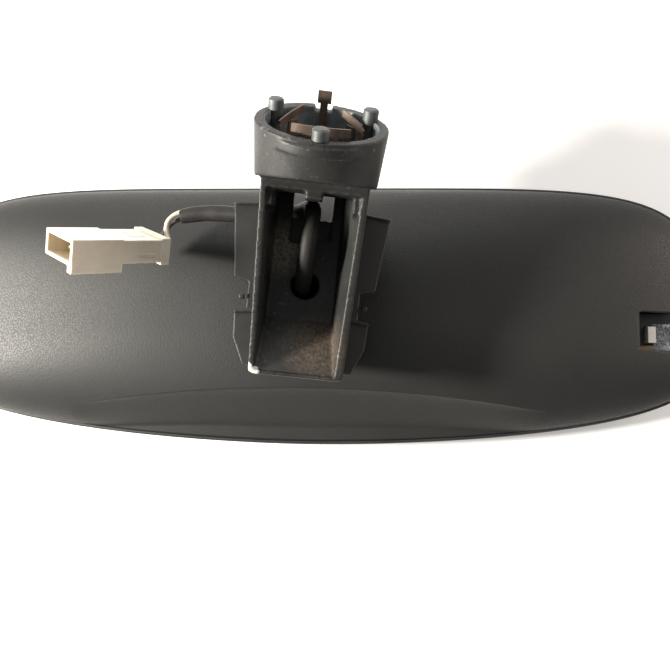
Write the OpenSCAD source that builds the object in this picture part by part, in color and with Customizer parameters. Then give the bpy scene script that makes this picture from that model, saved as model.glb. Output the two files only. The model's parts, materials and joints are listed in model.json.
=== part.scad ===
// Interior rearview mirror: self-dimming mirror head on a cast arm with a
// twist-lock ring mount. +Z is up in the car, the glass faces -Y and the
// windscreen side is +Y. The origin is the centre of the mount ring's rim.

/* [Mirror head] */
// Width of the mirror head
head_w = 240; // [225:5:250]
// Height of the outline above its widest line
head_top = 50; // [48:1:52]
// Depth of the outline below its widest line
head_bottom = 30; // [28:1:32]
// Depth of the head from the bezel's front to the crown of its back
head_depth = 25; // [24.5:0.5:26]
// Depth of the bezel
bezel_depth = 8.6; // [8:0.2:9]
// Wall thickness of the rear housing
shell_wall = 2.2; // [1.8:0.2:2.4]
// Depth of the finger grip along the lower edge
grip_depth = 6; // [4:0.5:7]

/* [Arm] */
// Turn of the arm about the vertical at rest
arm_pan = 6; // [5:0.5:7]
// Lean of the arm to the side at rest
arm_roll = 5; // [4:0.5:6]
// Half the width of the channel at its rim
rim_half_w = 13.6; // [13.2:0.2:14]
// Thickness of the channel's walls
channel_wall = 1.7; // [1.5:0.1:1.9]
// Distance from the mount's centre down to the channel's lower end
channel_end = 62.5; // [60:0.5:64]

/* [Mount ring] */
// Lean of the ring's axis towards the windscreen
ring_lean = 38.3; // [37:0.5:40]
// Outer radius of the ring
ring_r = 16.7; // [16.5:0.1:17]
// Inner radius of the ring
ring_bore_r = 14; // [13.9:0.1:14.1]
// Radius of the three locating studs
stud_r = 2; // [1.8:0.1:2.1]
// Radius of the circle of studs
stud_circle_r = 13.9; // [13.8:0.1:14]
// Height of the studs above the rim
stud_proud = 2.8; // [2:0.2:4]

/* [Ball joint] */
// Radius of the hollow ball
ball_r = 9; // [8.8:0.1:9]
// Radius of the cable passage through the ball
cable_bore_r = 3.7; // [3.4:0.1:3.8]
// Thickness of each ball liner
liner_wall = 1.2; // [1:0.1:1.2]
// Running clearance between the ball, the liners and the socket
ball_fit = 0.08; // [0.05:0.01:0.1]

/* [Cable] */
// Diameter of the cable sleeve
sleeve_d = 4.6; // [4.2:0.2:4.8]
// Diameter of each lead
lead_d = 1.5; // [1.2:0.1:1.6]

/* [Hidden] */

$fn = 64;
FINE = 96;
EPS = 0.01;
ARC_STEPS = 12;
END_WALL = 0.9;

// Outline of the head
SEGMENTS = 72;
TOP_POWER = [5.5, 5];
BOTTOM_POWER = [1.8, 3];
crown_z = (head_top - head_bottom) / 2;
housing_inset = 0.9;
tongue_inset = 2.5;
edge_slope = 10;
dome_steps = [0.2, 0.4, 0.55, 0.68, 0.78, 0.86, 0.92, 0.96, 0.985, 1];

// Finger grip
grip_half_w = 70;
grip_top_z = -13.4;
grip_end_drop = 6;
grip_run = 11;

// Ball and head placement in the arm's own axes
ball_back = 39.5;
ball_down = 37.3;
ball_in_head_y = 20;
ball_in_head_z = 13.8;
ball_cut = 7.5;
neck_r = 5.5;

// Channel profile in the arm's own axes
rim_low = 13;
floor_back = 23;
floor_front = 21;
trim_z = 14.5;
trim_lean = 17;
lintel_z = 16.7;
crease_z = 46.5;
ring_depth = 14.2;
ring_floor = 4.7;

// Glass stack, as depths behind the bezel's front
glass_inset = 2.8;
lip_inset = 4.6;
front_glass_y = [1.3, 3.3];
seal_y = [3.3, 3.5];
mirror_glass_y = [3.5, 5.3];
foam_y = [5.3, 5.9];
carrier_y = [5.9, 7.5];
board_y = [9.2, 10.4];

// Details of the ring and its spring
stud_seat = 8.2;
stud_shank_r = stud_r - 0.3;
stud_relief = 0.4;
tab_notch = 1.2;
ring_flat = 16.1;
recess_back = 3.6;
ring_band = 3.4;
spring_t = 0.5;
spring_depth = 8.6;
leaf_r = 10.1;
leaf_half_angle = 36;
leaf_tip = 14;
cover_t = 1.5;

// Socket, liners and their screws
inner_liner_r = ball_r + ball_fit + liner_wall;
outer_liner_r = inner_liner_r + ball_fit + liner_wall;
socket_r = outer_liner_r + ball_fit + 1.8;
neck_hole_r = socket_r + 0.3;
lug_circle_r = 18;
lug_y = 14;
lug_t = 2.5;
post_r = 3;
screw_head_h = 1.7;
screw_tip_y = 9.5;

// Sensor opening in the back of the head
sensor_x = 103.4;
sensor_z = 3;
pipe_x = 101.4;

// Plug
plug_l = 27.8;
plug_w = 14.4;
plug_t = 6.8;
plug_step = 13.8;

function about_z(p, a) = [p.x * cos(a) - p.y * sin(a), p.x * sin(a) + p.y * cos(a), p.z];
function about_y(p, a) = [p.x * cos(a) + p.z * sin(a), p.y, -p.x * sin(a) + p.z * cos(a)];
function arm_point(p) = about_y(about_z(p, arm_pan), -arm_roll);
ball = arm_point([0, -ball_back, -ball_down]);
head_origin = ball - [0, ball_in_head_y, ball_in_head_z];

// Cable route: from inside the ball, up through the channel's floor, over in a
// loop, out through the floor's window and along behind the arm
sleeve_upper_route = [
    [7.5, -41, -37], [7.3, -34, -37], [6.8, -28, -37], [6.2, -22, -37],
    [5.4, -16.5, -35.5], [4.5, -12.5, -31.5], [3.6, -11, -26.5], [3.1, -12, -21.5],
    [3.2, -14.8, -17.8], [4, -18.8, -16], [5.8, -23, -15.6], [9.3, -26.1, -15.6],
    [14.5, -27, -15.8], [19.5, -26.9, -16], [24.5, -27, -15.8]
];
sleeve_lower_route = [[30, -27.7, -15.3], [34, -28.1, -15.1], [38, -28.4, -15.3], [42, -28.5, -16]];
lead_pale_route = [
    [42.2, -27.6, -15.2], [45, -27, -17.5], [45.5, -26.5, -20.5],
    [44.5, -25, -24], [45.4, -22.6, -25.8]
];
lead_dark_route = [
    [42, -29.3, -16.3], [44.8, -29.4, -17.6], [46.4, -28.7, -20],
    [47.1, -27.2, -22.4], [48.5, -25.2, -24.2]
];
plug_rear = [47.5, -23.5, -25.5];
plug_turn = [-101.4, -21.8, -37.9];

module on_arm() {
    rotate([0, -arm_roll, 0]) rotate([0, 0, arm_pan]) children();
}

module on_ring() {
    on_arm() rotate([-ring_lean, 0, 0]) children();
}

module on_head() {
    translate(head_origin) children();
}

module on_plug() {
    translate(plug_rear) rotate(plug_turn) children();
}

// A cylinder along +Y from y = y0 to y = y1
module along_y(r, y0, y1) {
    translate([0, y0, 0]) rotate([-90, 0, 0]) cylinder(r = r, h = y1 - y0);
}

// A profile of radius and y, turned about the Y axis
module turned() {
    rotate([-90, 0, 0]) rotate_extrude($fn = FINE) children();
}

// A flat plate in X and Z, from y = y0 to y = y1
module plate(y0, y1) {
    translate([0, y1, 0]) rotate([90, 0, 0]) linear_extrude(y1 - y0) children();
}

function signed_power(v, p) = sign(v) * pow(abs(v), p);

// Point of the head's outline at angle t, moved in by inset
function edge(t, inset) =
    let (power = sin(t) >= 0 ? TOP_POWER : BOTTOM_POWER)
    let (tall = sin(t) >= 0 ? head_top - inset : head_bottom - inset)
    [(head_w / 2 - inset) * signed_power(cos(t), 2 / power[0]), tall * signed_power(sin(t), 2 / power[1])];

function outline(inset) = [for (i = [0:SEGMENTS - 1]) edge(360 * i / SEGMENTS, inset)];

// Height of the back at share s of the way from the crown to the edge
function dome(s) = bezel_depth + (head_depth - bezel_depth) * pow(1 - pow(s, 2.4), 0.62);

// How far the finger grip sinks the back at x, z
function grip(x, z) =
    let (line = grip_top_z - grip_end_drop * pow(x / grip_half_w, 2))
    let (run = max(0, min(1, (line - z) / grip_run)))
    let (side = max(0, 1 - pow(abs(x) / grip_half_w, 4)))
    grip_depth * side * sqrt(run);

function back_loop(s, inset, drop) = [
    for (p = outline(inset))
        let (x = s * p.x, z = crown_z + s * (p.y - crown_z))
        [x, max(bezel_depth + edge_slope * (1 - s), dome(s) - grip(x, z)) - drop, z]
];

function flat_loop(inset, y) = [for (p = outline(inset)) [p.x, y, p.y]];

// A skin over rings of equal length. Closed joins the last ring to the first;
// otherwise the first and last rings are capped.
module skin(rings, closed) {
    n = len(rings[0]);
    m = len(rings);
    last = closed ? m - 1 : m - 2;
    sides = [
        for (i = [0:last]) for (j = [0:n - 1])
            let (a = i * n + j, b = i * n + (j + 1) % n)
            let (c = ((i + 1) % m) * n + j, d = ((i + 1) % m) * n + (j + 1) % n)
            each [[a, b, c], [b, d, c]]
    ];
    caps = closed ? [] : [[for (j = [n - 1:-1:0]) j], [for (j = [0:n - 1]) (m - 1) * n + j]];
    polyhedron(points = [for (r = rings) each r], faces = concat(sides, caps));
}

// A round tube swept along points with eight sides
function unit(v) = v / norm(v);
function tangent(path, i) = unit(path[min(i + 1, len(path) - 1)] - path[max(i - 1, 0)]);
function curve_point(path, i, t) =
    let (a = path[max(i - 1, 0)], b = path[i], c = path[i + 1], d = path[min(i + 2, len(path) - 1)])
    0.5 * (2 * b + t * (c - a) + t * t * (2 * a - 5 * b + 4 * c - d) + t * t * t * (3 * b - a - 3 * c + d));
function smooth(path, k) = concat(
    [for (i = [0:len(path) - 2]) for (j = [0:k - 1]) curve_point(path, i, j / k)],
    [path[len(path) - 1]]
);
function tube_ring(path, i, r, sides) =
    let (w = tangent(path, i))
    let (u = unit(cross(w, [0.2, 0.1, 1])))
    let (v = cross(w, u))
    [for (k = [0:sides - 1]) path[i] + r * (cos(360 * k / sides) * u + sin(360 * k / sides) * v)];
module tube(path, r, steps, sides) {
    fine = smooth(path, steps);
    skin([for (i = [0:len(fine) - 1]) tube_ring(fine, i, r, sides)], false);
}

// ---- Arm ----

module ring_axes() {
    rotate([-ring_lean, 0, 0]) children();
}

// Everything deeper than a depth below the ring's rim
module below_ring(depth) {
    ring_axes() translate([-40, -50, -70 - depth]) cube([80, 100, 70]);
}

module at_studs() {
    for (a = [90, 210, 330]) rotate([0, 0, a]) translate([stud_circle_r, 0, 0]) children();
}

// The ring before its bore, with a rolled band below the rim's front
module ring_tube() {
    intersection() {
        ring_axes() {
            translate([0, 0, -ring_depth])
                cylinder(r1 = ring_r - 0.8, r2 = ring_r, h = ring_depth, $fn = FINE);
            translate([0, 4.2, -ring_band]) cylinder(r = 13.6, h = ring_band - 0.9, $fn = FINE);
        }
        rotate([-trim_lean, 0, 0]) translate([-30, -40, -trim_z]) cube([60, 80, 60]);
    }
}

// Ledge inside the front of the ring, below the rim
module ring_ledge() {
    translate([0, 0, -3.6]) intersection() {
        cylinder(r = ring_bore_r + 1, h = 2.5, $fn = FINE);
        translate([-15, 11.3, -1]) cube([30, 10, 5]);
    }
}

// What is taken out of the ring: bore, stud seats, tab notch and front flat
module ring_cuts() {
    ring_axes() {
        difference() {
            translate([0, 0, ring_floor - ring_depth]) cylinder(r = ring_bore_r, h = ring_depth, $fn = FINE);
            ring_ledge();
        }
        at_studs() {
            translate([0, 0, -stud_seat]) cylinder(r = stud_shank_r, h = stud_seat + 1);
            translate([0, 0, -stud_relief]) cylinder(r = stud_r, h = stud_relief + 1);
        }
        translate([-2.2, -18, -tab_notch]) cube([4.4, 6, tab_notch + 1]);
        difference() {
            translate([-14, 10, -20]) cube([28, 8, 20 - ring_band]);
            translate([0, -recess_back, -21]) cylinder(r = recess_back + ring_flat, h = 22, $fn = FINE);
        }
    }
}

// Side view of the channel as Y and Z, extruded across the arm
module channel_side(points) {
    translate([-30, 0, 0]) rotate([90, 0, 90]) linear_extrude(60) polygon(points);
}

// Cross-section of the channel, narrower towards its floor by a draft on each side
module channel_section(inset, draft) {
    half = rim_half_w - inset;
    translate([0, 0, -channel_end - 2]) linear_extrude(channel_end) polygon([
        [-half - 8 * draft[0], 5], [-half + 22 * draft[0], -25],
        [half - 22 * draft[1], -25], [half + 8 * draft[1], 5]
    ]);
}

// Front view of the channel with round lower corners
module channel_front(inset, end_wall, r) {
    half = rim_half_w + 0.5 - inset;
    low = end_wall - channel_end;
    plate(-30, 10) {
        translate([-half, low + r]) square([2 * half, channel_end]);
        translate([r - half, low]) square([2 * half - 2 * r, channel_end]);
        for (x = [r - half, half - r]) translate([x, low + r]) circle(r = r);
    }
}

module channel_outside() {
    intersection() {
        channel_side([
            [-floor_back, -2], [-floor_back, -crease_z - 0.8], [-14.8, -channel_end],
            [-rim_low, -channel_end], [-1.3, -10], [-1.3, -2]
        ]);
        channel_section(0, [0.145, 0.145]);
        channel_front(0, 0, 4.2);
        below_ring(ring_depth - ring_floor + 0.1);
    }
}

module channel_inside() {
    intersection() {
        channel_side([
            [-floor_front, -5], [-floor_front, -crease_z], [-13.6, END_WALL - channel_end],
            [5, END_WALL - channel_end], [5, -5]
        ]);
        channel_section(channel_wall, [0.2, 0.125]);
        channel_front(channel_wall, END_WALL, 3.2);
        below_ring(ring_depth);
    }
}

// Ball, neck and the neck's flare as one turned profile
module ball_neck() {
    neck_start = sqrt(ball_r * ball_r - neck_r * neck_r);
    floor = ball_back - floor_back;
    translate([0, -ball_back, 0]) turned() polygon(concat(
        [[0, -ball_cut]],
        zone_arc(ball_r, -ball_cut, neck_start),
        [[neck_r, floor - 4], [8.5, floor + 0.5], [0, floor + 1]]
    ));
}

// Pads beside the rim, and the lintel across the channel's top with its tab
module channel_details() {
    for (s = [-1, 1]) translate([s * 11.1 - 1.1, -9, -lintel_z - 4.1]) cube([2.2, 5, 4.2]);
    translate([-11.8, -6.5, -lintel_z]) cube([23.6, 3.9, lintel_z - trim_z + 0.1]);
    translate([-2.2, -5.6, -lintel_z - 1.9]) cube([4.4, 2.8, 2]);
}

module arm_casting() {
    color([0.26, 0.27, 0.28]) on_arm() difference() {
        union() {
            ring_tube();
            difference() {
                channel_outside();
                channel_inside();
            }
            channel_details();
            translate([0, 0, -ball_down]) ball_neck();
        }
        ring_cuts();
        plate(-30, -floor_front + 1) {
            translate([-5.4, -24.2]) square([10.8, 13.3]);
            translate([2.4, -25.8]) square([3, 2]);
        }
        translate([0, 0, -ball_down]) along_y(cable_bore_r, -60, -floor_front + 1);
    }
}

module locating_studs() {
    color([0.62, 0.64, 0.67]) on_arm() ring_axes() at_studs() {
        translate([0, 0, -stud_seat]) cylinder(r = stud_shank_r, h = stud_seat + EPS);
        cylinder(r = stud_r, h = stud_proud - 0.4);
        translate([0, 0, stud_proud - 0.4]) cylinder(r1 = stud_r, r2 = stud_r - 0.4, h = 0.4);
    }
}

// Bowed leaf on two legs, on the inner side of one stud from one angle to another, its lower
// edge at a height from the rim, and tipped
module spring_leaf(from, to, height, tip) {
    bow = [for (a = [from:6:to]) [leaf_r + 1.4 * pow(a / leaf_half_angle, 2), a]];
    inner = [for (p = bow) p[0] * [cos(p[1]), sin(p[1])]];
    outer = [for (i = [len(bow) - 1:-1:0]) (bow[i][0] + spring_t) * [cos(bow[i][1]), sin(bow[i][1])]];
    translate([0, 0, height]) rotate([tip, 0, 0]) linear_extrude(2) polygon(concat(inner, outer));
    for (s = [-1, 1]) rotate([0, 0, s * 15]) translate([leaf_r + 0.2, -1.5, -spring_depth])
        cube([spring_t, 3, spring_depth + height + 0.2]);
}

module retaining_spring() {
    half = leaf_half_angle;
    color([0.45, 0.39, 0.35]) on_arm() ring_axes() {
        difference() {
            translate([0, 0, -spring_depth]) cylinder(r = 13.7, h = spring_t);
            translate([0, 0, -spring_depth - 1]) cylinder(r = 8, h = 3);
            translate([0, 0, -spring_depth - 1]) at_studs() cylinder(r = stud_r + 0.3, h = 3);
        }
        rotate([0, 0, 90]) spring_leaf(-half, half, -0.1, 0);
        rotate([0, 0, 210]) spring_leaf(-half / 2, half, -2.6, leaf_tip);
        rotate([0, 0, 330]) spring_leaf(-half, half / 2, -2.6, -leaf_tip);
        translate([-1, -13.3, -spring_depth]) cube([2, spring_t, spring_depth + 1.4]);
        translate([-1.8, -13.3, 1.1]) cube([3.6, spring_t, 3.2]);
    }
}

module half_cover() {
    polygon([
        [0, -9], [7, -9], [13, -15.4], [21.5, -16.2], [19.3, -36.5], [15.2, -37.5], [15.2, -45],
        [18.3, -45.6], [17.8, -53], [14.6, -60], [0, -60]
    ]);
}

module stem_rear_cover() {
    color([0.19, 0.19, 0.2]) on_arm() {
        difference() {
            plate(-floor_back - cover_t, -floor_back) {
                half_cover();
                mirror([1, 0]) half_cover();
            }
            translate([0, 0, -ball_down]) along_y(9, -30, -20);
            plate(-30, -20) translate([-6.4, -18.6]) square([12.8, 20]);
        }
        for (s = [0, 1]) mirror([s, 0, 0]) {
            plate(-floor_back - 0.1, -floor_back + 0.6) {
                polygon([[14, -15.5], [21.5, -16.2], [21.4, -16.9], [14, -16.2]]);
                polygon([[13.2, -45], [18.3, -45.6], [18.2, -46.4], [13.2, -45.8]]);
            }
            translate([16, -floor_back - cover_t, -42.4]) cube([1.4, cover_t + 0.8, 1.3]);
        }
    }
}

// ---- Head shells and glass ----

module rear_housing() {
    inset = housing_inset + shell_wall;
    low = bezel_depth - shell_wall;
    outer = [for (s = dome_steps) back_loop(s, housing_inset, 0)];
    inner = [for (i = [len(dome_steps) - 2:-1:0]) back_loop(dome_steps[i], inset, shell_wall)];
    rim = [flat_loop(tongue_inset, bezel_depth), flat_loop(tongue_inset, low), flat_loop(inset + 0.8, low)];
    color([0.11, 0.11, 0.11]) on_head() difference() {
        skin(concat(outer, rim, inner), false);
        translate([0, 0, ball_in_head_z]) along_y(neck_hole_r, 10, 40);
        translate([-sensor_x - 6, 8, sensor_z - 4]) cube([12, 20, 11.2]);
    }
}

module bezel() {
    profile = [
        [0, 1.2], [0.35, 0.35], [1.2, 0], [lip_inset - 0.4, 0], [lip_inset, 0.4], [lip_inset, 1.2],
        [2.4, 1.2], [2.4, bezel_depth], [0.3, bezel_depth], [0, bezel_depth - 0.5]
    ];
    color([0.14, 0.13, 0.13]) on_head()
        skin([for (i = [len(profile) - 1:-1:0]) flat_loop(profile[i][0], profile[i][1])], true);
}

module sheet_of(inset, span) {
    on_head() plate(span[0], span[1]) polygon(outline(inset));
}

module front_glass() {
    color([0.75, 0.8, 0.82, 0.5]) sheet_of(glass_inset, front_glass_y);
}

module cell_seal() {
    color([0.6, 0.6, 0.58]) on_head() plate(seal_y[0], seal_y[1]) difference() {
        polygon(outline(3.3));
        polygon(outline(5.6));
    }
}

module mirror_glass() {
    color([0.8, 0.82, 0.84]) sheet_of(glass_inset + 0.5, mirror_glass_y);
}

// Thin clip along part of the glass edge, between two outline angles
module bus_clip(from, to) {
    step = (to - from) / 24;
    color([0.72, 0.6, 0.38]) on_head() plate(front_glass_y[0] + 0.2, mirror_glass_y[1]) polygon(concat(
        [for (i = [0:24]) edge(from + i * step, 2.48)],
        [for (i = [24:-1:0]) edge(from + i * step, 2.74)]
    ));
}

module bus_clip_top() {
    bus_clip(50, 130);
}

module bus_clip_bottom() {
    bus_clip(225, 315);
}

module foam_pad() {
    color([0.3, 0.3, 0.32]) sheet_of(9, foam_y);
}

module carrier_plate() {
    color([0.2, 0.2, 0.21]) on_head() {
        plate(carrier_y[0], carrier_y[1]) polygon(outline(6.5));
        for (x = [-90, -60, 60, 90]) translate([x - 1, carrier_y[1] - EPS, -6]) cube([2, 1.6, 26]);
        translate([0, 0, ball_in_head_z]) at_screws() difference() {
            along_y(post_r, carrier_y[1] - EPS, lug_y);
            along_y(1.2, screw_tip_y - 0.5, lug_y + 1);
        }
    }
}

// ---- Electronics ----

module circuit_board() {
    color([0.1, 0.32, 0.2]) on_head() difference() {
        plate(board_y[0], board_y[1]) translate([-106, -8]) square([82, 32]);
        for (x = [-102, -28]) translate([x, 0, 20]) along_y(1.4, 8, 12);
    }
}

module on_board(x, z, size) {
    on_head() translate([x - size.x / 2, board_y[1], z - size.z / 2]) cube(size);
}

module board_connector() {
    color([0.85, 0.84, 0.8]) difference() {
        on_board(-30, 0, [7, 5, 13]);
        on_board(-27, 0, [5, 4, 11]);
    }
}

module board_capacitors() {
    color([0.25, 0.26, 0.3]) on_head() for (x = [-84, -76]) translate([x, 0, 17]) {
        along_y(3.1, board_y[1], board_y[1] + 5.4);
    }
}

module control_chip() {
    color([0.12, 0.12, 0.12]) on_board(-54, 8, [10, 1.6, 10]);
}

module glare_sensor() {
    color([0.2, 0.2, 0.22]) on_head() translate([-44, carrier_y[1], 13])
        cube([5, board_y[0] - carrier_y[1], 4]);
}

module ambient_sensor() {
    color([0.16, 0.16, 0.18]) on_board(-pipe_x, sensor_z, [4, 1.4, 4]);
}

module light_pipe() {
    color([0.74, 0.75, 0.74]) on_head() translate([-pipe_x - 1.1, board_y[1] + 1.4, sensor_z - 1.8])
        cube([2.2, 4.4, 4.7]);
}

module sensor_lens() {
    color([0.55, 0.42, 0.28]) on_head() difference() {
        translate([-sensor_x - 5.8, board_y[1] + 2, sensor_z - 3.8]) cube([11.6, 0.8, 10.8]);
        translate([-pipe_x - 1.4, board_y[1] + 1, sensor_z - 2.1]) cube([2.8, 3, 5.3]);
    }
}

// ---- Ball joint inside the head ----

module at_screws() {
    for (a = [90, 210, 330]) rotate([0, a, 0]) translate([lug_circle_r, 0, 0]) children();
}

module on_ball() {
    translate(ball) children();
}

// Spherical shell between two radii, cut between two planes across Y
function zone_arc(r, y0, y1) =
    let (a0 = asin(y0 / r), a1 = asin(y1 / r))
    [for (i = [0:ARC_STEPS]) let (a = a0 + (a1 - a0) * i / ARC_STEPS) [r * cos(a), r * sin(a)]];

module ball_zone(r0, r1, y0, y1) {
    inner = zone_arc(r0, y0, y1);
    outer = zone_arc(r1, y0, y1);
    on_ball() turned() polygon(concat(outer, [for (i = [ARC_STEPS:-1:0]) inner[i]]));
}

module inner_ball_liner() {
    color([0.82, 0.82, 0.78]) ball_zone(ball_r + ball_fit, inner_liner_r, -6, 3.4);
}

module outer_ball_liner() {
    color([0.7, 0.72, 0.7]) ball_zone(inner_liner_r + ball_fit, outer_liner_r, -6, 4.2);
}

module ball_socket() {
    bore = zone_arc(outer_liner_r + ball_fit, -6.5, 5.5);
    low = lug_y - ball_in_head_y;
    color([0.55, 0.56, 0.58]) on_ball() difference() {
        union() {
            along_y(socket_r, -6, 4.6);
            at_screws() along_y(3.4, low, low + lug_t);
            for (a = [90, 210, 330]) rotate([0, a, 0]) translate([8, low, -3.4])
                cube([lug_circle_r - 8, lug_t, 6.8]);
        }
        turned() polygon(concat([[0, -6.5]], bore, [[0, 5.5]]));
        at_screws() along_y(1.3, -8, 0);
    }
}

module clamp_spring() {
    color([0.6, 0.6, 0.62]) on_ball() difference() {
        along_y(socket_r + 0.7, -3.4, 0.4);
        along_y(socket_r, -5, 4);
        translate([-3, -6, 8]) cube([6, 10, 12]);
    }
}

// Screws driven from behind through the lugs into the carrier's posts
module socket_screws() {
    seat = lug_y + lug_t;
    color([0.7, 0.7, 0.68]) on_head() translate([0, 0, ball_in_head_z]) at_screws() {
        difference() {
            along_y(2.4, seat, seat + screw_head_h);
            along_y(0.9, seat + 0.7, seat + screw_head_h + 1);
        }
        along_y(1.15, screw_tip_y, seat + EPS);
    }
}

module head_harness() {
    route = [[-25.5, 12.4, -1], [-21, 11.4, 1], [-15, 9.6, 5], [-8, 9, 10], [-1, 9, ball_in_head_z]];
    color([0.12, 0.12, 0.12]) on_head() tube(route, 1.3, 2, 8);
}

// ---- Free cable and plug ----

module sleeve_upper() {
    color([0.1, 0.1, 0.1]) tube(sleeve_upper_route, sleeve_d / 2, 2, 12);
}

module sleeve_lower() {
    color([0.1, 0.1, 0.1]) tube(sleeve_lower_route, sleeve_d / 2, 2, 12);
}

module lead_pale() {
    color([0.8, 0.76, 0.66]) tube(lead_pale_route, lead_d / 2, 2, 8);
}

module lead_dark() {
    color([0.25, 0.24, 0.25]) tube(lead_dark_route, lead_d / 2, 2, 8);
}

module plug_block(w, t, z0, z1) {
    translate([-w / 2, -t / 2, z0]) cube([w, t, z1 - z0]);
}

module plug_housing() {
    color([0.86, 0.83, 0.76]) on_plug() difference() {
        union() {
            plug_block(plug_w - 0.8, plug_t - 0.6, 0, plug_step);
            plug_block(plug_w + 0.4, plug_t + 0.5, 0, 2.6);
            plug_block(plug_w, plug_t, plug_step, plug_l);
            translate([-plug_w / 2, plug_t / 2 - EPS, plug_step]) cube([2.2, 1.9, plug_l - plug_step]);
        }
        plug_block(plug_w - 2.2, plug_t - 2, plug_step + 1, plug_l + 1);
        translate([-plug_w / 2 - 1, 0.6, 4]) cube([1.6, 1.2, 5]);
        translate([-3, -plug_t / 2 - 1, 5]) cube([6, 1.6, 4]);
        plug_block(11, 4.2, -1, 1);
    }
}

module plug_lock() {
    color([0.8, 0.78, 0.7]) on_plug() translate([-2.6, -plug_t / 2 + 0.3, 5.3]) cube([5.2, 0.3, 3.4]);
}

module plug_terminals() {
    color([0.75, 0.68, 0.45]) on_plug()
        for (i = [-2:2]) for (y = [-1, 1]) translate([i * 2.2 - 0.35, y * 1.1 - 0.35, plug_step + 1]) {
            cube([0.7, 0.7, 8]);
        }
}

module plug_seal() {
    color([0.5, 0.5, 0.5]) on_plug() plug_block(10.8, 4, -1, 1);
}

arm_casting();
locating_studs();
retaining_spring();
stem_rear_cover();
rear_housing();
bezel();
front_glass();
cell_seal();
mirror_glass();
bus_clip_top();
bus_clip_bottom();
foam_pad();
carrier_plate();
circuit_board();
board_connector();
board_capacitors();
control_chip();
glare_sensor();
ambient_sensor();
light_pipe();
sensor_lens();
ball_socket();
clamp_spring();
socket_screws();
head_harness();
inner_ball_liner();
outer_ball_liner();
sleeve_upper();
sleeve_lower();
lead_pale();
lead_dark();
plug_housing();
plug_lock();
plug_terminals();
plug_seal();
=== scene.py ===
"""Looks of the interior rearview mirror: camera, cable, shells, cast arm, glass and light.

Everything is in metres in the row frame: +Z up in the car, the glass faces -Y and the arm
stands on the +Y side. Lengths below are in millimetres and pass through mm() or MM.
"""
import math
import bmesh
import bpy
import numpy as np
from mathutils import Matrix, Vector
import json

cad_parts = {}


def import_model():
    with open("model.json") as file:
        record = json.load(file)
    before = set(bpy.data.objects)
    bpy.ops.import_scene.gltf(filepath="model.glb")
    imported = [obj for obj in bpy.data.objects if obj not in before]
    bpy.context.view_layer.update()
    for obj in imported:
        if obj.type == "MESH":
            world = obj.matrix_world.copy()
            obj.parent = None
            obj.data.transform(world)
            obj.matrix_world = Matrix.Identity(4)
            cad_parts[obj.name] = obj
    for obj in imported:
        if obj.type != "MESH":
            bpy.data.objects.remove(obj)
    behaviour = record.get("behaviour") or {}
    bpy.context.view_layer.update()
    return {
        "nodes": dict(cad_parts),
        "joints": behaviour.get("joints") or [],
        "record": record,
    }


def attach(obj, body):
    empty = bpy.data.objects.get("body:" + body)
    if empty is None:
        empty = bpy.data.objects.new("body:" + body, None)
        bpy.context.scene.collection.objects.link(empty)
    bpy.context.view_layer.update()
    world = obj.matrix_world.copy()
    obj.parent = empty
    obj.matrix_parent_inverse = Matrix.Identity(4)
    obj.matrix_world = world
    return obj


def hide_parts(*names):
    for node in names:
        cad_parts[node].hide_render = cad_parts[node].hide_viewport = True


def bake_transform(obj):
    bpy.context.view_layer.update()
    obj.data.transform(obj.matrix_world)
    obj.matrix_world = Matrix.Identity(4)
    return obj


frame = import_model()

MM = 0.001

# Driving dimensions, as in the CAD model
HEAD_WIDTH = 240
HEAD_TOP = 50
HEAD_BOTTOM = 30
HEAD_DEPTH = 25
BEZEL_DEPTH = 8.6
HOUSING_INSET = 0.9
TONGUE_INSET = 2.5
LIP_INSET = 4.6
SHELL_WALL = 2.2
EDGE_SLOPE = 10
GRIP_DEPTH = 6
GRIP_HALF_WIDTH = 70
GRIP_TOP = -13.4
GRIP_END_DROP = 6
GRIP_RUN = 11
BALL_IN_HEAD = (0, 20, 13.8)
NECK_HOLE = 13.74
SENSOR = (-103.4, 3)
SLOT_RISE = 1.6
SLOT_HALF_WIDTH = 6
SLOT_HALF_HEIGHT = 5.6
SLOT_CORNER = 0.8
ARM_PAN = 6
ARM_ROLL = 5
RING_LEAN = 38.3

BALL = Vector(frame["joints"][0]["pos_m"]) / MM
HEAD = BALL - Vector(BALL_IN_HEAD)


def mm(x, y, z):
    return (x * MM, y * MM, z * MM)


def turn(axis, degrees):
    return Matrix.Rotation(math.radians(degrees), 4, axis)


HEAD_PLACE = Matrix.Translation(HEAD * MM)
ARM_PLACE = turn("Y", -ARM_ROLL) @ turn("Z", ARM_PAN)
RING_PLACE = ARM_PLACE @ turn("X", -RING_LEAN)


# ---- Camera ----

camera_data = bpy.data.cameras.new("camera")
camera_data.lens = 39.2
camera_data.sensor_width = 36
camera_data.clip_start = 0.01
camera = bpy.data.objects.new("camera", camera_data)
camera.location = mm(-12.85, 172.3, -70.6)
camera.rotation_euler = [math.radians(a) for a in (95.99, -0.82, -177.12)]
bpy.context.scene.collection.objects.link(camera)
bpy.context.scene.camera = camera


# ---- Mesh helpers ----

def piece(name, points, faces, place=None, smooth=True):
    """A new mesh object from points in millimetres."""
    mesh = bpy.data.meshes.new(name)
    mesh.from_pydata([tuple(p) for p in points], [], faces)
    mesh.transform(Matrix.Scale(MM, 4))
    if place is not None:
        mesh.transform(place)
    mesh.update()
    obj = bpy.data.objects.new(name, mesh)
    bpy.context.scene.collection.objects.link(obj)
    shade(obj, smooth)
    return obj


def shade(obj, smooth=True):
    for polygon in obj.data.polygons:
        polygon.use_smooth = smooth


def apply_modifiers(obj):
    graph = bpy.context.evaluated_depsgraph_get()
    mesh = bpy.data.meshes.new_from_object(obj.evaluated_get(graph))
    obj.modifiers.clear()
    obj.data = mesh
    return obj


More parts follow.
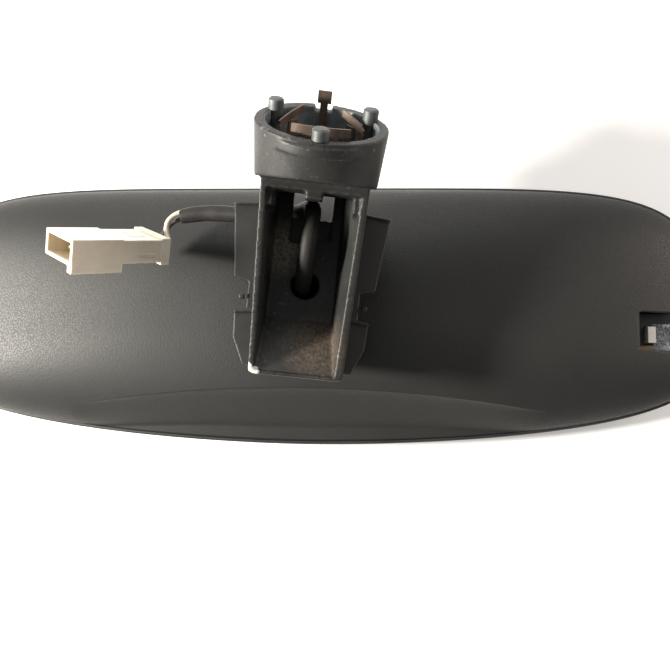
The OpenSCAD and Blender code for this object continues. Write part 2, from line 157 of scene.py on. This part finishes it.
def node_copy(node, name):
    """A welded copy of a CAD node's mesh."""
    source = frame["nodes"][node]
    mesh = source.data.copy()
    mesh.transform(source.matrix_world)
    obj = bpy.data.objects.new(name, mesh)
    bpy.context.scene.collection.objects.link(obj)
    weld = bmesh.new()
    weld.from_mesh(mesh)
    bmesh.ops.remove_doubles(weld, verts=weld.verts, dist=1e-6)
    bmesh.ops.recalc_face_normals(weld, faces=weld.faces)
    weld.to_mesh(mesh)
    weld.free()
    obj.data.materials.clear()
    return obj


def softened(node, name, voxel, passes):
    """A CAD node's shape with its edges softened, as cast or moulded edges are."""
    obj = node_copy(node, name)
    remesh = obj.modifiers.new("remesh", "REMESH")
    remesh.mode = "VOXEL"
    remesh.voxel_size = voxel * MM
    smooth = obj.modifiers.new("smooth", "SMOOTH")
    smooth.factor = 0.5
    smooth.iterations = passes
    apply_modifiers(obj)
    shade(obj)
    return obj


def curve_points(route, steps):
    """Catmull-Rom points through a route."""
    route = [Vector(p) for p in route]
    out = []
    for i in range(len(route) - 1):
        a, b = route[max(i - 1, 0)], route[i]
        c, d = route[i + 1], route[min(i + 2, len(route) - 1)]
        for j in range(steps):
            t = j / steps
            out.append(0.5 * (2 * b + t * (c - a) + t * t * (2 * a - 5 * b + 4 * c - d)
                              + t ** 3 * (3 * b - a - 3 * c + d)))
    out.append(route[-1])
    return out


def tube(name, points, radius, sides, hollow=0.0):
    """A round tube along points, carried without twist. radius is a function of the share along
    it, and a hollow end sinks in by that many millimetres."""
    n = len(points)
    tangents = [(points[min(i + 1, n - 1)] - points[max(i - 1, 0)]).normalized() for i in range(n)]
    side = tangents[0].orthogonal().normalized()
    verts, faces = [], []
    for i, (p, t) in enumerate(zip(points, tangents)):
        side = (side - side.dot(t) * t).normalized()
        up = t.cross(side)
        r = radius(i / (n - 1))
        for k in range(sides):
            a = 2 * math.pi * k / sides
            verts.append(p + r * (math.cos(a) * side + math.sin(a) * up))
    for i in range(n - 1):
        for k in range(sides):
            a, b = i * sides + k, i * sides + (k + 1) % sides
            faces.append((a, b, b + sides, a + sides))
    for ring, t, way in ((0, -tangents[0], 1), (n - 1, tangents[-1], -1)):
        rim = [ring * sides + k for k in range(sides)]
        centre = points[ring]
        inner = []
        for depth, share in ((0, 0.72), (hollow, 0.66)) if hollow else ((0, 0.6),):
            start = len(verts)
            verts.extend(centre + share * (verts[i] - centre) - depth * t for i in rim)
            loop = list(range(start, start + sides))
            last = inner or rim
            for k in range(sides):
                quad = (last[k], loop[k], loop[(k + 1) % sides], last[(k + 1) % sides])
                faces.append(quad if way > 0 else quad[::-1])
            inner = loop
        faces.append(tuple(inner[::-1]) if way > 0 else tuple(inner))
    return piece(name, verts, faces)


# ---- Cable: the sleeve crosses the joint, the leads run from its end into the connector ----

SLEEVE_ROUTE = [
    (7.5, -41, -37), (7.3, -34, -37), (6.8, -28, -37), (6.2, -22, -37),
    (5.4, -16.5, -35.5), (4.5, -12.5, -31.5), (3.6, -11, -26.5), (3.1, -12, -21.5),
    (3.2, -14.8, -17.8), (4, -18.8, -16), (5.8, -23, -15.6), (9.3, -26.1, -15.6),
    (14.5, -27, -15.8), (19.5, -26.9, -16), (24.5, -27, -15.8),
    (30, -27.7, -15.3), (34, -28.1, -15.1), (38, -28.4, -15.3), (42, -28.5, -16),
]
LEAD_PALE_ROUTE = [
    (30.5, -27.4, -14.8), (32.5, -27.6, -14.6), (37.5, -27.9, -14.8), (42.2, -27.6, -15.2),
    (45, -27, -17.5), (45.5, -26.5, -20.5), (44.5, -25, -24), (45.4, -22.6, -25.8),
    (48.4, -19.5, -26.3),
]
LEAD_DARK_ROUTE = [
    (30.5, -28.2, -15.7), (32.5, -28.4, -15.6), (37.5, -29, -15.7), (42, -29.3, -16.3),
    (44.8, -29.4, -17.6), (46.4, -28.7, -20), (47.1, -27.2, -22.4), (48.5, -25.2, -24.2),
    (51.3, -21.8, -24.8), (52.8, -20.2, -25.2),
]
SLEEVE_DIAMETER = 4.6
LEAD_DIAMETER = 1.5


def sleeve_radius(share):
    """Slightly uneven, and drawn in where the sleeve ends at the leads."""
    ripple = 0.05 * math.sin(share * 61) + 0.03 * math.sin(share * 23 + 1)
    pinch = 0.25 * max(0.0, (share - 0.93) / 0.07) ** 2
    return SLEEVE_DIAMETER / 2 - 0.05 + ripple - pinch


def lead(name, route, node):
    """One lead as a tube that rides with the pan hinge, and the points it runs through."""
    points = curve_points(route, 8)
    obj = tube(name, points, lambda share: LEAD_DIAMETER / 2, 16)
    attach(obj, "pan_liner")
    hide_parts(node)
    return obj, points


sleeve_points = curve_points(SLEEVE_ROUTE, 9)
sleeve = tube("cable_sleeve", sleeve_points, sleeve_radius, 28, hollow=1.2)
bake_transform(sleeve)
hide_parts("sleeve_upper", "sleeve_lower")
pale_lead, pale_points = lead("pale_lead", LEAD_PALE_ROUTE, "lead_pale")
dark_lead, dark_points = lead("dark_lead", LEAD_DARK_ROUTE, "lead_dark")


# ---- Head outline and shells ----

CROWN = (HEAD_TOP - HEAD_BOTTOM) / 2
TOP_POWER = (5.5, 5)
BOTTOM_POWER = (1.8, 3)
COLUMNS = 480


def signed_power(v, p):
    return math.copysign(abs(v) ** p, v)


def edge(angle, inset):
    """A point of the head's outline, moved in by inset, as x and z in the head's own axes."""
    c, s = math.cos(angle), math.sin(angle)
    power = TOP_POWER if s >= 0 else BOTTOM_POWER
    tall = (HEAD_TOP if s >= 0 else HEAD_BOTTOM) - inset
    wide = HEAD_WIDTH / 2 - inset
    return wide * signed_power(c, 2 / power[0]), tall * signed_power(s, 2 / power[1])


def outline_angles(count):
    """Angles that space the outline's points about evenly along it."""
    fine = np.linspace(0, 2 * math.pi, 20001)
    xz = np.array([edge(a, 0) for a in fine])
    run = np.concatenate([[0], np.cumsum(np.hypot(*np.diff(xz, axis=0).T))])
    return np.interp(np.linspace(0, run[-1], count, endpoint=False), run, fine)


ANGLES = outline_angles(COLUMNS)


def dome(s):
    """Depth of the back without the finger grip, by the share of the way to the edge."""
    return BEZEL_DEPTH + (HEAD_DEPTH - BEZEL_DEPTH) * (1 - s ** 2.4) ** 0.62


def grip_line(x):
    """Height of the finger grip's upper edge."""
    return GRIP_TOP - GRIP_END_DROP * (x / GRIP_HALF_WIDTH) ** 2


def grip(x, z):
    """How far the finger grip is sunk below the dome."""
    run = min(1.0, max(0.0, (grip_line(x) - z) / GRIP_RUN))
    side = max(0.0, 1 - abs(x / GRIP_HALF_WIDTH) ** 4)
    return GRIP_DEPTH * side * math.sqrt(run)


def back_depth(x, z, s):
    return max(BEZEL_DEPTH + EDGE_SLOPE * (1 - s), dome(s) - grip(x, z))


def line_share(angle):
    """Share of the way from the crown to the edge at which the column meets the grip's line."""
    x1, z1 = edge(angle, HOUSING_INSET)
    low, high = 0.0, 0.93
    if grip_line(high * x1) < CROWN + high * (z1 - CROWN):
        return high
    for _ in range(40):
        s = (low + high) / 2
        if CROWN + s * (z1 - CROWN) > grip_line(s * x1):
            low = s
        else:
            high = s
    return high


def housing_shell():
    """Outer skin whose rows follow the finger grip's edge, a tongue into the bezel, and a wall."""
    above, below, inner_rows = 54, 34, 14
    points, faces = [], []
    inset = HOUSING_INSET + SHELL_WALL

    def ring(row):
        for angle in ANGLES:
            x, z, y = row(angle)
            points.append((x, y, z))

    lines = {angle: line_share(angle) for angle in ANGLES}

    def outer(share_of):
        def row(angle):
            s = share_of(lines[angle])
            x1, z1 = edge(angle, HOUSING_INSET)
            x, z = s * x1, CROWN + s * (z1 - CROWN)
            return x, z, back_depth(x, z, s)
        return row

    for i in range(1, above + 1):
        ring(outer(lambda line, i=i: line * i / above))
    for j in range(1, below + 1):
        share = (j / below) ** 1.7
        ring(outer(lambda line, share=share: min(1.0, line + (1 - line) * share)))
    low = BEZEL_DEPTH - SHELL_WALL
    for rim_inset, y in ((TONGUE_INSET, BEZEL_DEPTH), (TONGUE_INSET, low), (inset + 0.8, low)):
        ring(lambda angle, a=rim_inset, y=y: (*edge(angle, a), y))
    for k in range(inner_rows):
        s = 0.985 - 0.9 * k / (inner_rows - 1)

        def row(angle, s=s):
            x1, z1 = edge(angle, inset)
            x, z = s * x1, CROWN + s * (z1 - CROWN)
            return x, z, back_depth(x, z, s) - SHELL_WALL
        ring(row)
    rows = len(points) // COLUMNS
    for i in range(rows - 1):
        for k in range(COLUMNS):
            a, b = i * COLUMNS + k, i * COLUMNS + (k + 1) % COLUMNS
            faces.append((a, a + COLUMNS, b + COLUMNS, b))
    for first, depth, flip in ((0, HEAD_DEPTH, False), ((rows - 1) * COLUMNS, None, True)):
        centre = len(points)
        depth = depth or points[first][1] + 0.02
        points.append((0, depth, CROWN))
        for k in range(COLUMNS):
            tri = (centre, first + k, first + (k + 1) % COLUMNS)
            faces.append(tri[::-1] if flip else tri)
    return piece("housing", points, faces, HEAD_PLACE)


def prism(name, ring, y0, y1, place):
    """A closed prism between two depths over a ring of x and z."""
    n = len(ring)
    points = [(x, y0, z) for x, z in ring] + [(x, y1, z) for x, z in ring]
    faces = [(k, k + n, (k + 1) % n + n, (k + 1) % n) for k in range(n)]
    faces += [tuple(range(n)), tuple(reversed(range(n, 2 * n)))]
    obj = piece(name, points, faces, place, smooth=False)
    tidy = bmesh.new()
    tidy.from_mesh(obj.data)
    bmesh.ops.recalc_face_normals(tidy, faces=tidy.faces)
    tidy.to_mesh(obj.data)
    tidy.free()
    return obj


def round_ring(cx, cz, radius, sides=96):
    angles = [2 * math.pi * k / sides for k in range(sides)]
    return [(cx + radius * math.cos(a), cz + radius * math.sin(a)) for a in angles]


def box_ring(cx, cz, half_w, half_h, corner):
    """A rectangle with round corners, as a ring of x and z."""
    out = []
    for sx, sz, start in ((1, 1, 0), (-1, 1, 90), (-1, -1, 180), (1, -1, 270)):
        for k in range(7):
            a = math.radians(start + 15 * k)
            out.append((cx + sx * (half_w - corner) + corner * math.cos(a),
                        cz + sz * (half_h - corner) + corner * math.sin(a)))
    return out


def cut(obj, cutter):
    boolean = obj.modifiers.new("cut", "BOOLEAN")
    boolean.operation = "DIFFERENCE"
    boolean.object = cutter
    boolean.solver = "EXACT"
    apply_modifiers(obj)
    bpy.data.objects.remove(cutter)


housing = housing_shell()
cut(housing, prism("neck_cut", round_ring(0, BALL_IN_HEAD[2], NECK_HOLE), 10, 40, HEAD_PLACE))
slot_ring = box_ring(SENSOR[0], SENSOR[1] + SLOT_RISE, SLOT_HALF_WIDTH, SLOT_HALF_HEIGHT, SLOT_CORNER)
cut(housing, prism("sensor_cut", slot_ring, 8, 30, HEAD_PLACE))
shade(housing)
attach(housing, "head")
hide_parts("rear_housing")


def bezel_ring():
    """The frame round the glass: a rounded front, a lip and a ledge, and a rounded back edge."""
    front, back, ledge = 1.3, 0.6, 2.4
    turns = [math.radians(10 * k) for k in range(10)]
    profile = [(front * (1 - math.cos(a)), front * (1 - math.sin(a))) for a in turns]
    profile += [(LIP_INSET - 0.5, 0), (LIP_INSET - 0.15, 0.12), (LIP_INSET, 0.5), (LIP_INSET, 1.2)]
    profile += [(ledge, 1.2), (ledge, BEZEL_DEPTH - 0.2), (2.2, BEZEL_DEPTH), (back, BEZEL_DEPTH)]
    turns = [math.radians(15 * k) for k in range(1, 7)]
    profile += [(back - back * math.sin(a), BEZEL_DEPTH - back + back * math.cos(a)) for a in turns]
    points = [(x, y, z) for inset, y in profile for x, z in (edge(a, inset) for a in ANGLES)]
    rows = len(profile)
    faces = []
    for i in range(rows):
        for k in range(COLUMNS):
            a, b = i * COLUMNS + k, i * COLUMNS + (k + 1) % COLUMNS
            c, d = ((i + 1) % rows) * COLUMNS + k, ((i + 1) % rows) * COLUMNS + (k + 1) % COLUMNS
            faces.append((a, c, d, b))
    return piece("bezel_frame", points, faces, HEAD_PLACE)


bezel_frame = bezel_ring()
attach(bezel_frame, "head")
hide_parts("bezel")


# ---- Arm, cover and plug shell ----

arm = softened("arm_casting", "cast_arm", 0.32, 5)
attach(arm, "arm")
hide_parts("arm_casting")

cover = softened("stem_rear_cover", "rear_cover", 0.22, 3)
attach(cover, "arm")
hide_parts("stem_rear_cover")

plug = softened("plug_housing", "plug_shell", 0.16, 4)
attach(plug, "pan_liner")
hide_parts("plug_housing")


# ---- Materials ----

def material(name):
    """A new node material with a Principled shader, and the tools to wire it."""
    mat = bpy.data.materials.new(name)
    mat.use_nodes = True
    tree = mat.node_tree
    shader = tree.nodes["Principled BSDF"]
    place = tree.nodes.new("ShaderNodeTexCoord")
    return mat, tree, shader, place.outputs["Object"]


def noise_of(tree, place, scale, detail=4.0, rough=0.6, distortion=0.0):
    node = tree.nodes.new("ShaderNodeTexNoise")
    node.inputs["Scale"].default_value = scale
    node.inputs["Detail"].default_value = detail
    node.inputs["Roughness"].default_value = rough
    node.inputs["Distortion"].default_value = distortion
    tree.links.new(place, node.inputs["Vector"])
    return node.outputs["Fac"]


def cells_of(tree, place, scale):
    node = tree.nodes.new("ShaderNodeTexVoronoi")
    node.inputs["Scale"].default_value = scale
    tree.links.new(place, node.inputs["Vector"])
    return node.outputs["Distance"]


def ramp(tree, value, stops):
    """Colour ramp of (place, grey or colour) stops."""
    node = tree.nodes.new("ShaderNodeValToRGB")
    elements = node.color_ramp.elements
    while len(elements) < len(stops):
        elements.new(0.5)
    for element, (where, colour) in zip(elements, stops):
        element.position = where
        rgb = (colour,) * 3 if isinstance(colour, (int, float)) else colour
        element.color = (*rgb, 1)
    tree.links.new(value, node.inputs["Fac"])
    return node.outputs["Color"]


def math_of(tree, operation, a, b=None, c=None):
    """A maths node on up to three inputs, each a socket or a number."""
    node = tree.nodes.new("ShaderNodeMath")
    node.operation = operation
    for socket, value in zip(node.inputs, (a, b, c)):
        if value is None:
            continue
        if isinstance(value, (int, float)):
            socket.default_value = value
        else:
            tree.links.new(value, socket)
    return node.outputs["Value"]


def mixed(tree, share, a, b):
    """Colour a where share is 0 and colour b where it is 1."""
    node = tree.nodes.new("ShaderNodeMix")
    node.data_type = "RGBA"
    for socket, value in ((node.inputs[0], share), (node.inputs[6], a), (node.inputs[7], b)):
        if isinstance(value, (int, float)):
            socket.default_value = value
        elif isinstance(value, tuple):
            socket.default_value = (*value, 1)
        else:
            tree.links.new(value, socket)
    return node.outputs[2]


def bump(tree, shader, height, distance):
    node = tree.nodes.new("ShaderNodeBump")
    node.inputs["Distance"].default_value = distance * MM
    node.inputs["Strength"].default_value = 1.0
    tree.links.new(height, node.inputs["Height"])
    tree.links.new(node.outputs["Normal"], shader.inputs["Normal"])


def in_arm(point):
    """A point of the arm's own axes, in metres in the row frame."""
    return tuple(ARM_PLACE @ (Vector(point) * MM))


def near(tree, place, centre, radius, ragged=0.0, core=0.8):
    """1 inside a ball round centre, falling to 0 outside, with a ragged edge."""
    node = tree.nodes.new("ShaderNodeVectorMath")
    node.operation = "DISTANCE"
    tree.links.new(place, node.inputs[0])
    node.inputs[1].default_value = centre
    away = node.outputs["Value"]
    if ragged:
        rough = math_of(tree, "SUBTRACT", noise_of(tree, place, 900, 3), 0.5)
        away = math_of(tree, "ADD", away, math_of(tree, "MULTIPLY", rough, ragged * MM))
    node = tree.nodes.new("ShaderNodeMapRange")
    tree.links.new(away, node.inputs["Value"])
    node.inputs["From Min"].default_value = radius * MM
    node.inputs["From Max"].default_value = radius * MM * core
    return node.outputs["Result"]


def inside_bore(tree, place, radius, depth):
    """1 within the mount ring's bore down to a depth below its rim, else 0."""
    def axis_share(operation, *inputs):
        node = tree.nodes.new("ShaderNodeVectorMath")
        node.operation = operation
        for socket, value in zip(node.inputs, inputs):
            if isinstance(value, tuple):
                socket.default_value = value
            else:
                tree.links.new(value, socket)
        return node.outputs["Value"]
    along = axis_share("DOT_PRODUCT", place, tuple(RING_PLACE.to_3x3() @ Vector((0, 0, 1))))
    away = axis_share("DOT_PRODUCT", place, place)
    across = math_of(tree, "SUBTRACT", away, math_of(tree, "MULTIPLY", along, along))
    within = math_of(tree, "LESS_THAN", across, (radius * MM) ** 2)
    return math_of(tree, "MULTIPLY", within, math_of(tree, "GREATER_THAN", along, -depth * MM))


def moulded(name, dark, light, rough=(0.45, 0.6), grain=1800, height=0.03, specular=0.5, patch=60):
    """Moulded plastic: fine grain, slow changes of shade and of roughness."""
    mat, tree, shader, place = material(name)
    slow = noise_of(tree, place, patch, 3)
    fine = noise_of(tree, place, grain, 5, 0.7)
    both = math_of(tree, "MULTIPLY_ADD", fine, 0.35, math_of(tree, "MULTIPLY", slow, 0.65))
    tree.links.new(ramp(tree, both, ((0.3, dark), (0.7, light))), shader.inputs["Base Color"])
    tree.links.new(ramp(tree, slow, ((0.3, rough[0]), (0.7, rough[1]))), shader.inputs["Roughness"])
    shader.inputs["Specular IOR Level"].default_value = specular
    bump(tree, shader, fine, height)
    return mat


def housing_plastic():
    """Black plastic with a pebbled grain that sparkles where light grazes it."""
    mat, tree, shader, place = material("housing_plastic")
    slow = noise_of(tree, place, 22, 3)
    pebble = cells_of(tree, place, 2300)
    fine = noise_of(tree, place, 3400, 4, 0.7)
    grain = math_of(tree, "ADD", pebble, math_of(tree, "MULTIPLY", fine, 0.7))
    shade_of = ramp(tree, slow, ((0.3, (0.010, 0.0103, 0.0096)), (0.7, (0.017, 0.0172, 0.016))))
    speck = ramp(tree, noise_of(tree, place, 1900, 2, 0.8), ((0.62, 0.0), (0.8, 0.35)))
    tree.links.new(mixed(tree, speck, shade_of, (0.06, 0.058, 0.055)), shader.inputs["Base Color"])
    tree.links.new(ramp(tree, grain, ((0.35, 0.42), (0.9, 0.62))), shader.inputs["Roughness"])
    bump(tree, shader, grain, 0.03)
    return mat


# Painted pools of light on the channel floor, with a dusty tint, as place, radius and tint, and two
# paint chips, in the arm's own axes
DUST_AND_LIGHT_PATCHES = (
    ((7.5, -21, -28), 9, (0.26, 0.22, 0.17)),
    ((-5, -17.5, -54), 11, (0.16, 0.118, 0.082)),
)
PAINT_CHIPS = ((12.2, -13.6, -60.8), (10.6, -13.6, -61.9))
BARE_RADIUS = 14.3
BARE_DEPTH = 8


def cast_paint():
    """Dark grey paint on a casting: sandy skin, convex edges painted pale as wear to bare metal and
    as an edge highlight, painted pools of light with a dusty tint, and two chips.
    """
    mat, tree, shader, place = material("cast_paint")
    slow = noise_of(tree, place, 90, 4)
    sand = noise_of(tree, place, 1300, 5, 0.75)
    paint = ramp(tree, slow, ((0.3, (0.016, 0.0165, 0.0155)), (0.7, (0.028, 0.0285, 0.0265))))
    # Convex edges are painted pale: partly wear to bare metal, partly a painted edge highlight
    sharp = tree.nodes.new("ShaderNodeNewGeometry").outputs["Pointiness"]
    wear_and_highlight = ramp(tree, math_of(tree, "ADD", sharp, math_of(tree, "MULTIPLY", sand, 0.03)),
                ((0.555, 0.0), (0.62, 0.8)))
    colour = mixed(tree, wear_and_highlight, paint, (0.12, 0.122, 0.112))
    specks = ramp(tree, noise_of(tree, place, 700, 2, 0.7), ((0.64, 0.0), (0.74, 0.6)))
    colour = mixed(tree, specks, colour, (0.10, 0.10, 0.092))
    bare = ramp(tree, noise_of(tree, place, 500, 4, 0.7),
                ((0.3, (0.13, 0.15, 0.165)), (0.7, (0.24, 0.27, 0.29))))
    colour = mixed(tree, inside_bore(tree, place, BARE_RADIUS, BARE_DEPTH), colour, bare)
    grit = ramp(tree, noise_of(tree, place, 1100, 5, 0.8), ((0.42, 0.15), (0.62, 0.9)))
    # Painted pools of light, with a dusty tint, brighten two places on the channel floor
    for centre, radius, tint in DUST_AND_LIGHT_PATCHES:
        dust_and_light = math_of(tree, "MULTIPLY", near(tree, place, in_arm(centre), radius, 3, 0.35), grit)
        colour = mixed(tree, dust_and_light, colour, tint)
    for centre in PAINT_CHIPS:
        chip = near(tree, place, in_arm(centre), 1.5, 1.6)
        colour = mixed(tree, chip, colour, (0.72, 0.70, 0.65))
    tree.links.new(colour, shader.inputs["Base Color"])
    tree.links.new(ramp(tree, sand, ((0.3, 0.42), (0.75, 0.66))), shader.inputs["Roughness"])
    shader.inputs["Metallic"].default_value = 0.25
    bump(tree, shader, sand, 0.07)
    return mat


def metal(name, dark, light, rough=(0.3, 0.5)):
    """Bare metal with slow changes of shade and a fine grain."""
    mat, tree, shader, place = material(name)
    slow = noise_of(tree, place, 260, 4)
    fine = noise_of(tree, place, 900, 4, 0.7)
    tree.links.new(ramp(tree, slow, ((0.3, dark), (0.7, light))), shader.inputs["Base Color"])
    tree.links.new(ramp(tree, fine, ((0.3, rough[0]), (0.7, rough[1]))), shader.inputs["Roughness"])
    shader.inputs["Metallic"].default_value = 0.85
    bump(tree, shader, fine, 0.015)
    return mat


def nylon():
    """Cream connector plastic, slightly see-through and yellowed, with faint handling marks."""
    mat, tree, shader, place = material("cream_nylon")
    slow = noise_of(tree, place, 120, 4)
    colour = ramp(tree, slow, ((0.3, (0.68, 0.61, 0.48)), (0.7, (0.82, 0.75, 0.62))))
    mark = ramp(tree, noise_of(tree, place, 380, 5, 0.75, 1.5), ((0.60, 0.0), (0.74, 0.35)))
    tree.links.new(mixed(tree, mark, colour, (0.42, 0.36, 0.27)), shader.inputs["Base Color"])
    fine = noise_of(tree, place, 1500, 3)
    tree.links.new(ramp(tree, fine, ((0.3, 0.36), (0.7, 0.5))), shader.inputs["Roughness"])
    shader.inputs["Subsurface Weight"].default_value = 0.25
    shader.inputs["Subsurface Radius"].default_value = (1.2, 1.0, 0.6)
    shader.inputs["Subsurface Scale"].default_value = MM
    bump(tree, shader, fine, 0.008)
    return mat


def slot_lens():
    """The plate behind the sensor slot: dark, with an amber lower strip and a frosted end."""
    mat, tree, shader, place = material("slot_lens")
    split = tree.nodes.new("ShaderNodeSeparateXYZ")
    tree.links.new(place, split.inputs["Vector"])
    low_edge = (HEAD.z + SENSOR[1] - 2.4) * MM
    end_edge = (HEAD.x + SENSOR[0] + 0.7) * MM
    top_edge = (HEAD.z + SENSOR[1] + 4) * MM
    low = math_of(tree, "LESS_THAN", split.outputs["Z"], low_edge)
    end = math_of(tree, "LESS_THAN", split.outputs["X"], end_edge)
    end = math_of(tree, "MULTIPLY", end, math_of(tree, "LESS_THAN", split.outputs["Z"], top_edge))
    grain = noise_of(tree, place, 1600, 4, 0.8)
    frost = ramp(tree, grain, ((0.4, (0.05, 0.055, 0.06)), (0.62, (0.34, 0.36, 0.38))))
    amber = ramp(tree, noise_of(tree, place, 500, 3),
                 ((0.3, (0.24, 0.15, 0.075)), (0.7, (0.36, 0.25, 0.14))))
    colour = mixed(tree, low, (0.012, 0.012, 0.012), amber)
    tree.links.new(mixed(tree, end, colour, frost), shader.inputs["Base Color"])
    rough = ramp(tree, noise_of(tree, place, 900, 3), ((0.3, 0.3), (0.7, 0.5)))
    tree.links.new(rough, shader.inputs["Roughness"])
    bump(tree, shader, grain, 0.02)
    return mat


def clear_glass():
    mat, tree, shader, place = material("clear_glass")
    shader.inputs["Base Color"].default_value = (0.86, 0.9, 0.92, 1)
    shader.inputs["Transmission Weight"].default_value = 1.0
    shader.inputs["IOR"].default_value = 1.5
    smear = noise_of(tree, place, 60, 5, 0.7)
    tree.links.new(ramp(tree, smear, ((0.4, 0.0), (0.8, 0.05))), shader.inputs["Roughness"])
    return mat


def silvered_glass():
    mat, tree, shader, place = material("silvered_glass")
    slow = noise_of(tree, place, 18, 2)
    tree.links.new(ramp(tree, slow, ((0.3, (0.62, 0.66, 0.68)), (0.7, (0.68, 0.71, 0.72)))),
                   shader.inputs["Base Color"])
    shader.inputs["Metallic"].default_value = 1.0
    tree.links.new(ramp(tree, noise_of(tree, place, 240, 4), ((0.3, 0.02), (0.8, 0.05))),
                   shader.inputs["Roughness"])
    return mat


MATERIALS = {
    "cast_paint": cast_paint(),
    "stud_metal": metal("stud_metal", (0.10, 0.107, 0.107), (0.18, 0.19, 0.19), (0.5, 0.66)),
    "spring_steel": metal("spring_steel", (0.12, 0.088, 0.068), (0.22, 0.17, 0.135), (0.48, 0.62)),
    "cover_plastic": moulded("cover_plastic", (0.015, 0.0148, 0.0138), (0.026, 0.0255, 0.0235),
                             (0.45, 0.6), 1700, 0.03),
    "housing_plastic": housing_plastic(),
    "bezel_plastic": moulded("bezel_plastic", 0.016, 0.03, (0.38, 0.5), 1900, 0.02),
    "clear_glass": clear_glass(),
    "silvered_glass": silvered_glass(),
    "seal_resin": moulded("seal_resin", (0.32, 0.32, 0.29), (0.42, 0.42, 0.39)),
    "clip_metal": metal("clip_metal", (0.5, 0.4, 0.22), (0.7, 0.58, 0.36)),
    "foam": moulded("foam", 0.03, 0.08, (0.8, 0.95), 1200, 0.15),
    "carrier_plastic": moulded("carrier_plastic", 0.03, 0.05),
    "board_laminate": moulded("board_laminate", (0.015, 0.09, 0.045), (0.03, 0.15, 0.07),
                              (0.25, 0.4)),
    "connector_plastic": nylon(),
    "component_case": moulded("component_case", 0.02, 0.04, (0.3, 0.45)),
    "light_pipe_resin": moulded("light_pipe_resin", (0.24, 0.23, 0.22), (0.34, 0.33, 0.31),
                                (0.35, 0.5), 700, 0.01),
    "amber_lens": slot_lens(),
    "socket_metal": metal("socket_metal", (0.4, 0.41, 0.43), (0.52, 0.53, 0.55)),
    "liner_nylon": moulded("liner_nylon", (0.5, 0.5, 0.46), (0.66, 0.66, 0.62), (0.35, 0.5)),
    "screw_steel": metal("screw_steel", (0.45, 0.45, 0.44), (0.62, 0.62, 0.6)),
    "sleeve_plastic": moulded("sleeve_plastic", (0.012, 0.0115, 0.011), (0.026, 0.024, 0.022),
                              (0.5, 0.65), 1400, 0.02, specular=0.25, patch=140),
    "lead_pale_pvc": moulded("lead_pale_pvc", (0.55, 0.48, 0.36), (0.72, 0.66, 0.53),
                             (0.3, 0.45), 900, 0.01),
    "lead_dark_pvc": moulded("lead_dark_pvc", (0.05, 0.045, 0.05), (0.10, 0.09, 0.095),
                             (0.3, 0.45), 900, 0.01),
    "wire_harness": moulded("wire_harness", 0.02, 0.04, (0.4, 0.6)),
}


def dress(obj, name):
    obj.data.materials.clear()
    obj.data.materials.append(MATERIALS[name])


for part in frame["record"]["subparts"]:
    dress(frame["nodes"][part["node"]], part["material_slot"])
for obj, name in ((sleeve, "sleeve_plastic"), (pale_lead, "lead_pale_pvc"),
                  (dark_lead, "lead_dark_pvc"), (housing, "housing_plastic"),
                  (bezel_frame, "bezel_plastic"), (arm, "cast_paint"),
                  (cover, "cover_plastic"), (plug, "connector_plastic")):
    dress(obj, name)


# ---- Stage and light ----

def table():
    """A wide pale table under the glass, seen only from its upper side."""
    size, y = 1400, HEAD.y - 0.2
    points = [(x, y, z) for x, z in ((-size, -size), (size, -size), (size, size), (-size, size))]
    obj = piece("table", points, [(3, 2, 1, 0)], smooth=False)
    mat, tree, shader, place = material("table_paint")
    tone = ramp(tree, noise_of(tree, place, 9, 3, 0.5),
                ((0.35, (0.80, 0.785, 0.765)), (0.65, (0.87, 0.865, 0.855))))
    tree.links.new(tone, shader.inputs["Base Color"])
    shader.inputs["Roughness"].default_value = 0.5
    shader.inputs["Emission Color"].default_value = (1, 0.985, 0.96, 1)
    shader.inputs["Emission Strength"].default_value = 0.3
    bump(tree, shader, noise_of(tree, place, 300, 3), 0.05)
    output = tree.nodes["Material Output"]
    clear = tree.nodes.new("ShaderNodeBsdfTransparent")
    back = tree.nodes.new("ShaderNodeNewGeometry")
    mix = tree.nodes.new("ShaderNodeMixShader")
    tree.links.new(back.outputs["Backfacing"], mix.inputs["Fac"])
    tree.links.new(shader.outputs["BSDF"], mix.inputs[1])
    tree.links.new(clear.outputs["BSDF"], mix.inputs[2])
    tree.links.new(mix.outputs["Shader"], output.inputs["Surface"])
    obj.data.materials.append(mat)
    obj.visible_shadow = False


def soft_light(name, place, size, power, colour, aim=(10, -45, -45)):
    data = bpy.data.lights.new(name, "AREA")
    data.shape = "DISK"
    data.size = size * MM
    data.energy = power
    data.color = colour
    light = bpy.data.objects.new(name, data)
    light.location = mm(*place)
    way = Vector(mm(*aim)) - light.location
    light.rotation_euler = way.to_track_quat("-Z", "Y").to_euler()
    bpy.context.scene.collection.objects.link(light)


def world():
    """Dim grey surroundings, a little lighter above."""
    scene_world = bpy.data.worlds.new("studio")
    scene_world.use_nodes = True
    tree = scene_world.node_tree
    background = tree.nodes["Background"]
    place = tree.nodes.new("ShaderNodeTexCoord")
    split = tree.nodes.new("ShaderNodeSeparateXYZ")
    tree.links.new(place.outputs["Generated"], split.inputs["Vector"])
    tone = ramp(tree, math_of(tree, "MULTIPLY_ADD", split.outputs["Z"], 0.5, 0.5),
                ((0.2, (0.62, 0.61, 0.60)), (0.5, (0.80, 0.80, 0.80)), (0.8, (0.95, 0.96, 0.98))))
    tree.links.new(tone, background.inputs["Color"])
    background.inputs["Strength"].default_value = 0.36
    bpy.context.scene.world = scene_world


table()
world()
soft_light("key", (400, 200, -70), 70, 6.5, (1.0, 0.95, 0.87))
soft_light("top", (60, 260, 480), 260, 1.4, (1.0, 0.98, 0.95))
soft_light("side_fill", (-460, 110, 100), 160, 0.8, (1.0, 0.86, 0.76))
soft_light("front_fill", (150, -600, 250), 500, 6.0, (1, 1, 1))

bpy.context.scene.view_settings.view_transform = "Standard"
